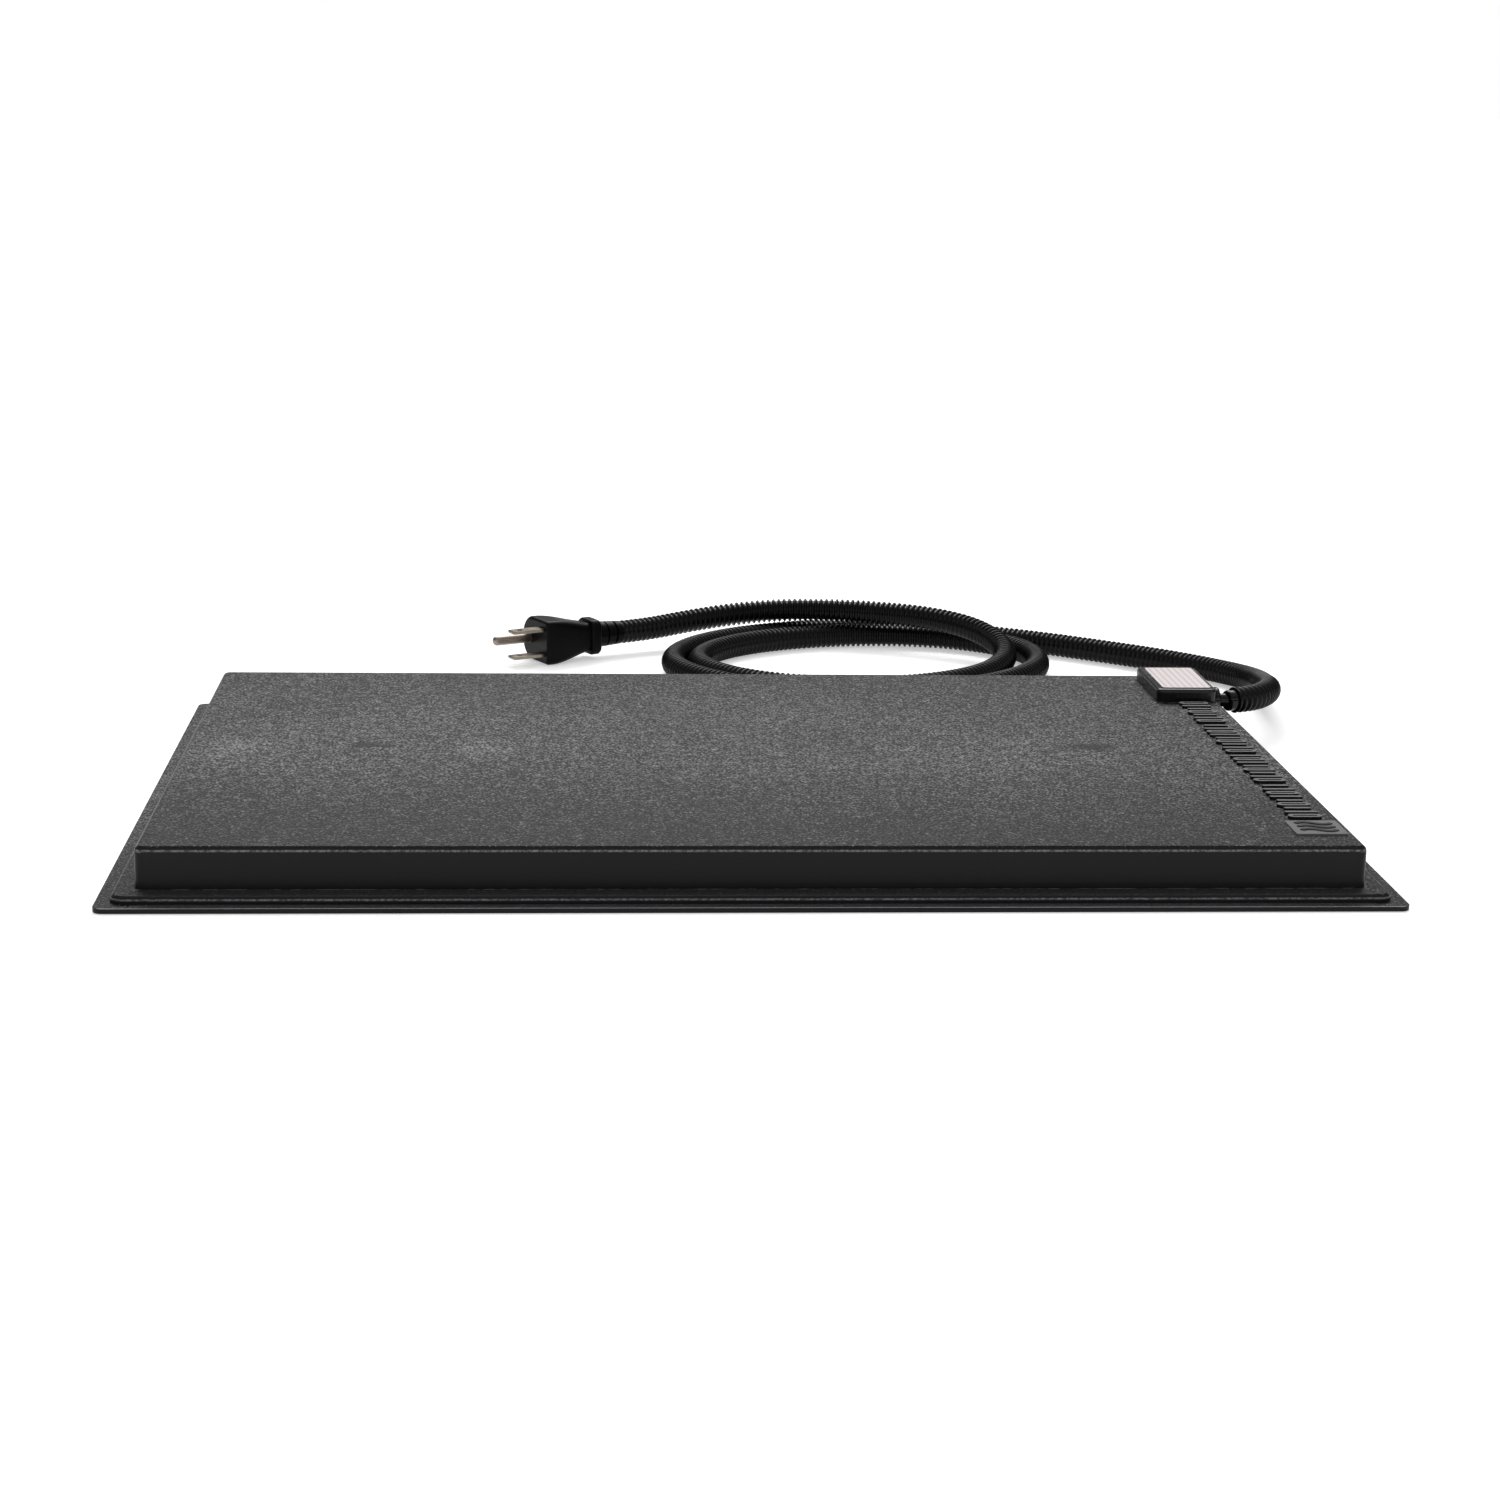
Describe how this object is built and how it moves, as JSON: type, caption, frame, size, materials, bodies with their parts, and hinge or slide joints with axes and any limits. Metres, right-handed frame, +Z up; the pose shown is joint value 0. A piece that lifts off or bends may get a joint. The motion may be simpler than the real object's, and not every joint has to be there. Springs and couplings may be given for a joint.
{
  "type": "heated seedling mat",
  "caption": "Rigid moulded heated mat for germinating trays, with a raised flat deck, a junction box and a coiled conduit mains cord.",
  "frame": {"origin": "centre of the mat's underside", "axes": "+X along the long side towards the junction box, +Y towards the side the cord lies on, +Z up"},
  "size_m": [0.503, 0.4814, 0.0262],
  "materials": {
    "shell_plastic": "fine moulded grain",
    "badge_plastic": "smooth",
    "box_plastic": "satin",
    "gasket_rubber": "matte",
    "label_film": "satin film with pale printed lines",
    "steel": "plain",
    "gland_plastic": "satin",
    "cable_jacket": "smooth",
    "foil": "rolled",
    "heater_silicone": "smooth",
    "foam": "closed-cell foam",
    "bimetal": "plain",
    "ceramic_like": "unglazed",
    "phenolic": "moulded",
    "brass": "plain",
    "spring_steel": "plain",
    "terminal_boot": "translucent look",
    "black_wire": "smooth",
    "white_wire": "smooth",
    "green_wire": "smooth",
    "aluminium": "plain",
    "conduit": "corrugated, low sheen",
    "plug_vinyl": "soft vinyl",
    "blade_metal": "nickel plated"
  },
  "bodies": {
    "mat": {"back_heater_joint": "terminal_boot", "badge": "badge_plastic", "bottom_shell": "shell_plastic", "box_cover": "box_plastic", "box_gasket": "gasket_rubber", "box_screws": "steel", "cable_tapes": "foil", "conduit_coil": "conduit", "conduit_lead_in": "conduit", "conduit_lead_out": "conduit", "contact_spring": "spring_steel", "cord_gland": "gland_plastic", "front_heater_joint": "terminal_boot", "gland_nut": "gland_plastic", "ground_lead": "green_wire", "ground_pin": "blade_metal", "ground_rivet": "aluminium", "ground_terminal": "steel", "heating_cable": "heater_silicone", "insulation_board": "foam", "line_blade": "blade_metal", "line_lead": "black_wire", "line_receptacle": "terminal_boot", "line_terminal": "brass", "load_lead": "black_wire", "load_receptacle": "terminal_boot", "load_terminal": "brass", "neutral_blade": "blade_metal", "neutral_lead": "white_wire", "plug_body": "plug_vinyl", "plug_neck": "plug_vinyl", "power_cable": "cable_jacket", "rating_label": "label_film", "spreader_foil": "foil", "strain_sleeve": "cable_jacket", "thermostat_cap": "steel", "thermostat_disc": "bimetal", "thermostat_guide": "ceramic_like", "thermostat_housing": "phenolic", "top_shell": "shell_plastic"},
    "thermostat_switch": {"transfer_pin": "ceramic_like", "contact_bridge": "brass"}
  },
  "joints": [
    {"name": "thermostat_snap", "type": "slide", "parent": "mat", "child": "thermostat_switch", "axis": [0, 0, -1], "range_m": [0, 0.0006], "stiffness_N_per_m": 8, "springref_m": -0.0004, "deforming": ["contact_spring"]}
  ]
}
